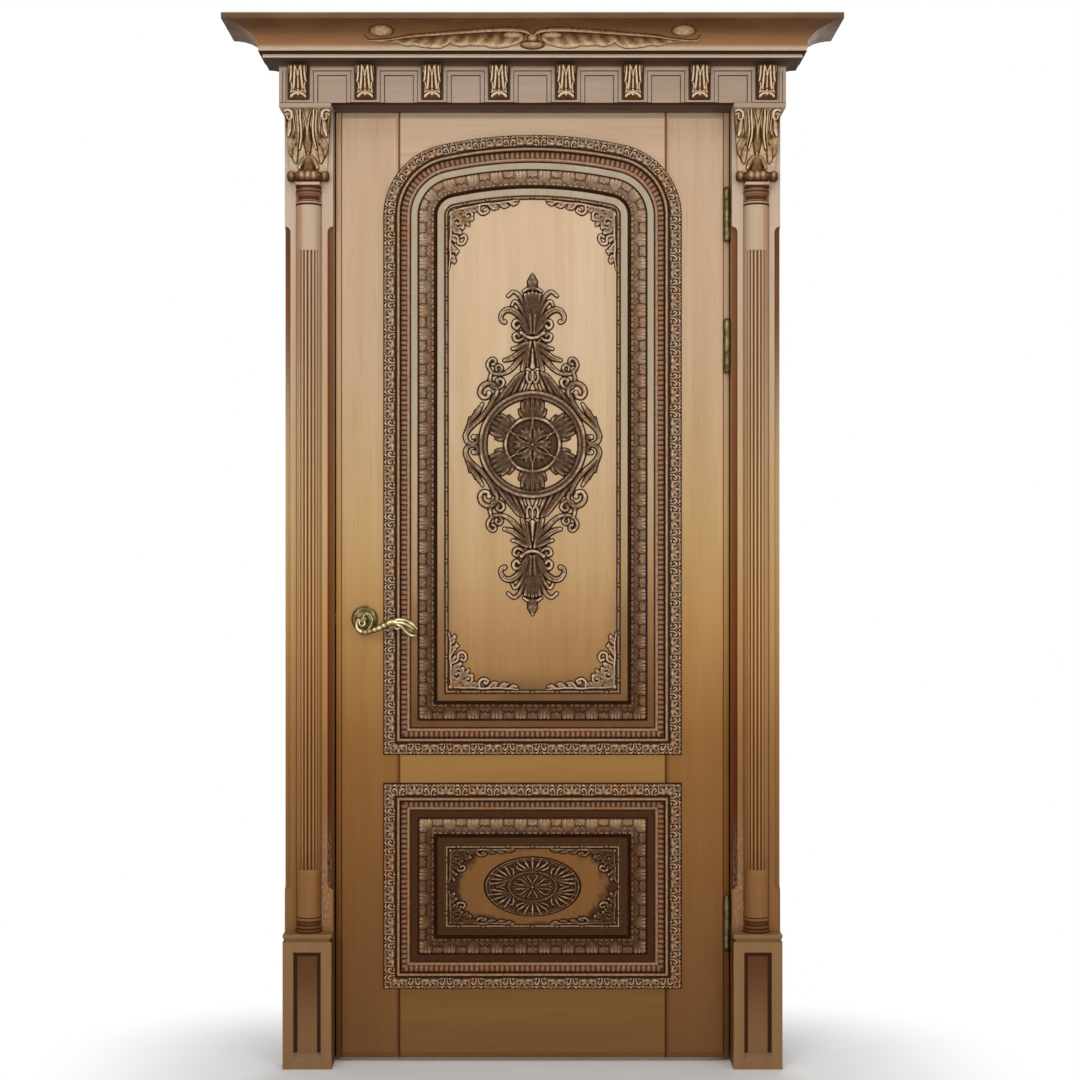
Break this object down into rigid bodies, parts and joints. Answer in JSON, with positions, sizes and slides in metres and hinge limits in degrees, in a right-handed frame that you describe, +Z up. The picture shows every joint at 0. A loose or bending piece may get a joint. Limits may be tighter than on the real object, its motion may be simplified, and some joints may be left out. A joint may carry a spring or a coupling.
{
  "type": "carved wooden door with frame",
  "caption": "Carved wooden door leaf with an arched upper panel, hung in a classical frame with fluted half columns, consoles, bracketed frieze and crown; lever handle works a latch.",
  "frame": {"origin": "on the floor, under the middle of the whole door set", "axes": "+X to the right seen from the front, +Y into the wall, +Z up"},
  "size_m": [1.255, 0.3, 2.158],
  "materials": {
    "stained_oak": "stained oak with a satin varnish",
    "carved_oak": "carved oak, dark patina in the hollows and rubbed edges",
    "panel_oak": "pale stained oak with a shaded border",
    "antique_brass": "antique brass, dark in the recesses"
  },
  "bodies": {
    "frame": {"left_jamb": "stained_oak", "right_jamb": "stained_oak", "head_jamb": "stained_oak", "left_pilaster": "stained_oak", "right_pilaster": "stained_oak", "left_column": "stained_oak", "right_column": "stained_oak", "left_plinth": "stained_oak", "right_plinth": "stained_oak", "left_plinth_cap": "stained_oak", "right_plinth_cap": "stained_oak", "left_console": "carved_oak", "right_console": "carved_oak", "frieze": "stained_oak", "frieze_brackets": "carved_oak", "bed_mould": "stained_oak", "crown_front": "stained_oak", "crown_left_return": "stained_oak", "crown_right_return": "stained_oak", "cornice_board": "stained_oak", "crown_carving": "carved_oak", "strike_plate": "antique_brass", "top_hinge_frame_plate": "antique_brass", "middle_hinge_frame_plate": "antique_brass", "bottom_hinge_frame_plate": "antique_brass", "hinge_pins": "antique_brass"},
    "leaf": {"lock_stile": "stained_oak", "hinge_stile": "stained_oak", "top_rail": "stained_oak", "middle_rail": "stained_oak", "bottom_rail": "stained_oak", "upper_panel": "panel_oak", "upper_leaf_band": "carved_oak", "upper_dentils": "carved_oak", "upper_tongue_mould": "carved_oak", "upper_reed": "carved_oak", "upper_corner_carvings": "carved_oak", "upper_medallion": "carved_oak", "upper_back_mould": "stained_oak", "lower_panel": "panel_oak", "lower_leaf_band": "carved_oak", "lower_dentils": "carved_oak", "lower_tongue_mould": "carved_oak", "lower_reed": "carved_oak", "lower_corner_carvings": "carved_oak", "lower_medallion": "carved_oak", "lower_back_mould": "stained_oak", "top_hinge_leaf_plate": "antique_brass", "middle_hinge_leaf_plate": "antique_brass", "bottom_hinge_leaf_plate": "antique_brass", "latch_case": "antique_brass", "front_rose": "antique_brass", "back_rose": "antique_brass"},
    "handle": {"front_lever": "antique_brass", "back_lever": "antique_brass", "spindle": "antique_brass"},
    "latch": {"latch_bolt": "antique_brass"}
  },
  "joints": [
    {"name": "door_swing", "type": "hinge", "parent": "frame", "child": "leaf", "pos_m": [0.408, 0.021, 0], "axis": [0, 0, 1], "range_deg": [0, 95]},
    {"name": "handle_turn", "type": "hinge", "parent": "leaf", "child": "handle", "pos_m": [-0.352, 0.024, 0.931], "axis": [0, 1, 0], "range_deg": [0, 40], "stiffness_Nm_per_rad": 1.5, "springref_deg": -22.92},
    {"name": "latch_slide", "type": "slide", "parent": "leaf", "child": "latch", "axis": [1, 0, 0], "range_m": [0, 0.012]}
  ],
  "couplings": [
    {"joint": "latch_slide", "follows": "handle_turn", "m_per_rad": 0.0171}
  ]
}
